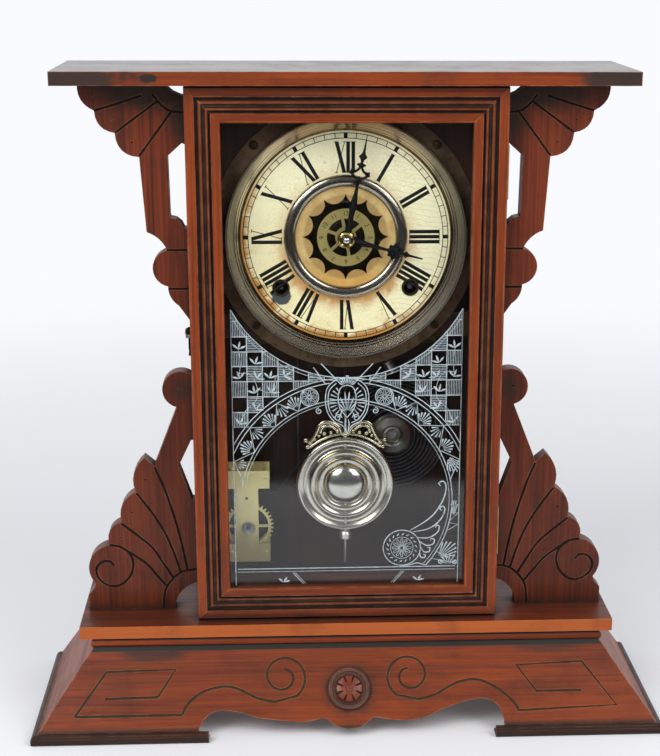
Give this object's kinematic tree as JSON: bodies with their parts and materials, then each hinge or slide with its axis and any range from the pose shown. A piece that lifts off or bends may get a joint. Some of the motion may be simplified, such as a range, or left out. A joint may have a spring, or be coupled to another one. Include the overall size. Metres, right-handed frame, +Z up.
{
  "type": "parlour shelf clock",
  "caption": "Parlour shelf clock with carved side brackets, a glazed door, a pendulum, a spring-driven movement, a coil gong and an alarm.",
  "frame": {"origin": "centre of the footprint, on the surface that the clock stands on", "axes": "+X to the right as seen from the front, +Y to the back, +Z up"},
  "size_m": [0.423, 0.142, 0.432],
  "materials": {
    "red_walnut": "old shellac over walnut",
    "dark_walnut": "darkened shellac over walnut",
    "pine": "stained softwood",
    "glass": "thin old window glass",
    "black_iron": "black japanned steel",
    "steel": "dull",
    "brass": "aged",
    "tin": "tarnished tinplate",
    "dial_paper": "aged printed paper; matte plastic stands in for paper",
    "nickel": "worn nickel plate"
  },
  "bodies": {
    "case": {"shelf_board": "red_walnut", "top_board": "red_walnut", "case_sides": "red_walnut", "back_board": "pine", "base_front_board": "red_walnut", "base_flanks": "red_walnut", "foot_mouldings": "dark_walnut", "bed_mouldings": "red_walnut", "corner_blocks": "pine", "base_rosette": "red_walnut", "upper_brackets": "dark_walnut", "lower_brackets": "red_walnut", "mounting_blocks": "pine", "brass_screws": "brass", "hinge_case_leaves": "brass", "hinge_pins": "steel", "dial_pan": "tin", "dial_paper": "dial_paper", "dial_rings": "brass", "winding_grommets": "brass", "movement_front_plate": "brass", "movement_back_plate": "brass", "plate_pillars": "brass", "mainsprings": "steel", "suspension_post": "brass", "gong_base": "nickel", "gong_coil": "steel", "alarm_frame": "brass"},
    "door": {"door_stiles": "red_walnut", "door_rails": "red_walnut", "door_glass": "glass", "glass_beads": "pine", "hinge_door_leaves": "brass", "latch_pin": "steel"},
    "latch": {"latch_hook": "black_iron"},
    "minute_work": {"centre_wheel": "brass", "minute_hand": "black_iron", "hand_nut": "steel"},
    "hour_work": {"hour_wheel": "brass", "hour_hand": "black_iron"},
    "alarm_dial": {"alarm_disc": "brass"},
    "minute_wheel": {"minute_wheel": "brass"},
    "time_great": {"time_great_wheel": "brass"},
    "time_winding": {"time_winding_arbor": "steel"},
    "time_second": {"time_second_wheel": "brass"},
    "time_third": {"time_third_wheel": "brass"},
    "escape": {"escape_wheel": "brass"},
    "verge": {"verge": "steel"},
    "strike_great": {"strike_great_wheel": "brass"},
    "strike_winding": {"strike_winding_arbor": "steel"},
    "strike_second": {"strike_second_wheel": "brass"},
    "fly": {"strike_fly": "brass"},
    "strike_hammer": {"strike_hammer": "steel"},
    "pendulum": {"pendulum_rod": "steel"},
    "bob": {"pendulum_bob": "nickel"},
    "rating_nut": {"rating_nut": "brass"},
    "alarm_winding": {"alarm_winding_arbor": "steel"},
    "alarm_wheel": {"alarm_wheel": "brass"},
    "alarm_hammer": {"alarm_hammer": "steel"},
    "trip_wire": {"trip_wire": "steel"}
  },
  "joints": [
    {"name": "door_hinge", "type": "hinge", "parent": "case", "child": "door", "pos_m": [0.1022, -0.00915, 0.2472], "axis": [0, 0, 1], "range_deg": [0, 105]},
    {"name": "latch_swing", "type": "hinge", "parent": "case", "child": "latch", "pos_m": [-0.1024, -0.003, 0.264], "axis": [-1, 0, 0], "range_deg": [0, 90]},
    {"name": "minute_arbor", "type": "hinge", "parent": "case", "child": "minute_work", "pos_m": [0, 0.02, 0.325], "axis": [0, 1, 0], "continuous": true},
    {"name": "hour_pipe", "type": "hinge", "parent": "case", "child": "hour_work", "pos_m": [0, 0.016, 0.325], "axis": [0, 1, 0], "continuous": true},
    {"name": "alarm_dial", "type": "hinge", "parent": "hour_work", "child": "alarm_dial", "pos_m": [0, 0.0014, 0.325], "axis": [0, 1, 0], "continuous": true},
    {"name": "minute_wheel_stud", "type": "hinge", "parent": "case", "child": "minute_wheel", "pos_m": [-0.0118, 0.019, 0.31674], "axis": [0, 1, 0], "continuous": true},
    {"name": "time_great_arbor", "type": "hinge", "parent": "case", "child": "time_great", "pos_m": [0.0424, 0.0256, 0.2917], "axis": [0, 1, 0], "continuous": true},
    {"name": "time_second_arbor", "type": "hinge", "parent": "case", "child": "time_second", "pos_m": [0.02333, 0.038, 0.31936], "axis": [0, 1, 0], "continuous": true},
    {"name": "time_third_arbor", "type": "hinge", "parent": "case", "child": "time_third", "pos_m": [-0.01362, 0.038, 0.34228], "axis": [0, 1, 0], "continuous": true},
    {"name": "escape_arbor", "type": "hinge", "parent": "case", "child": "escape", "pos_m": [0, 0.038, 0.358], "axis": [0, 1, 0], "continuous": true},
    {"name": "time_winding", "type": "hinge", "parent": "case", "child": "time_winding", "pos_m": [0.0424, 0.038, 0.2917], "axis": [0, 1, 0], "continuous": true},
    {"name": "strike_great_arbor", "type": "hinge", "parent": "case", "child": "strike_great", "pos_m": [-0.0424, 0.0256, 0.2917], "axis": [0, 1, 0], "continuous": true},
    {"name": "strike_second_arbor", "type": "hinge", "parent": "case", "child": "strike_second", "pos_m": [-0.02333, 0.038, 0.31936], "axis": [0, 1, 0], "continuous": true},
    {"name": "fly_arbor", "type": "hinge", "parent": "case", "child": "fly", "pos_m": [-0.03807, 0.038, 0.32969], "axis": [0, 1, 0], "continuous": true},
    {"name": "strike_winding", "type": "hinge", "parent": "case", "child": "strike_winding", "pos_m": [-0.0424, 0.038, 0.2917], "axis": [0, 1, 0], "continuous": true},
    {"name": "strike_hammer_arbor", "type": "hinge", "parent": "case", "child": "strike_hammer", "pos_m": [0.012, 0.038, 0.263], "axis": [0, -1, 0], "range_deg": [-2, 12]},
    {"name": "pendulum_swing", "type": "hinge", "parent": "case", "child": "pendulum", "pos_m": [0, 0.011, 0.375], "axis": [0, 1, 0], "range_deg": [-4, 4]},
    {"name": "verge_arbor", "type": "hinge", "parent": "case", "child": "verge", "pos_m": [0, 0.038, 0.375], "axis": [0, 1, 0], "range_deg": [-4, 4]},
    {"name": "bob_slide", "type": "slide", "parent": "pendulum", "child": "bob", "axis": [0, 0, 1], "range_m": [-0.006, 0.006]},
    {"name": "rating_nut_turn", "type": "hinge", "parent": "bob", "child": "rating_nut", "pos_m": [0, 0.011, 0.118], "axis": [0, 0, 1], "range_deg": [-2700, 2700]},
    {"name": "alarm_winding", "type": "hinge", "parent": "case", "child": "alarm_winding", "pos_m": [-0.0671, 0.042, 0.1158], "axis": [0, 1, 0], "continuous": true},
    {"name": "alarm_wheel_arbor", "type": "hinge", "parent": "case", "child": "alarm_wheel", "pos_m": [-0.0671, 0.036, 0.1158], "axis": [0, 1, 0], "continuous": true},
    {"name": "alarm_hammer_arbor", "type": "hinge", "parent": "case", "child": "alarm_hammer", "pos_m": [-0.0681, 0.042, 0.1378], "axis": [0, 1, 0], "range_deg": [-3, 3]},
    {"name": "trip_wire_lift", "type": "slide", "parent": "case", "child": "trip_wire", "axis": [0, 0, 1], "range_m": [0, 0.0025]}
  ],
  "couplings": [
    {"joint": "hour_pipe", "follows": "minute_arbor", "ratio": 0.083333},
    {"joint": "minute_wheel_stud", "follows": "minute_arbor", "ratio": -0.33333},
    {"joint": "time_great_arbor", "follows": "minute_arbor", "ratio": 0.083333},
    {"joint": "time_second_arbor", "follows": "minute_arbor", "ratio": -0.5},
    {"joint": "time_third_arbor", "follows": "minute_arbor", "ratio": -10},
    {"joint": "escape_arbor", "follows": "minute_arbor", "ratio": 120},
    {"joint": "strike_second_arbor", "follows": "strike_great_arbor", "ratio": -6},
    {"joint": "fly_arbor", "follows": "strike_great_arbor", "ratio": 48},
    {"joint": "verge_arbor", "follows": "pendulum_swing", "ratio": 1},
    {"joint": "rating_nut_turn", "follows": "bob_slide", "rad_per_m": 7854}
  ]
}
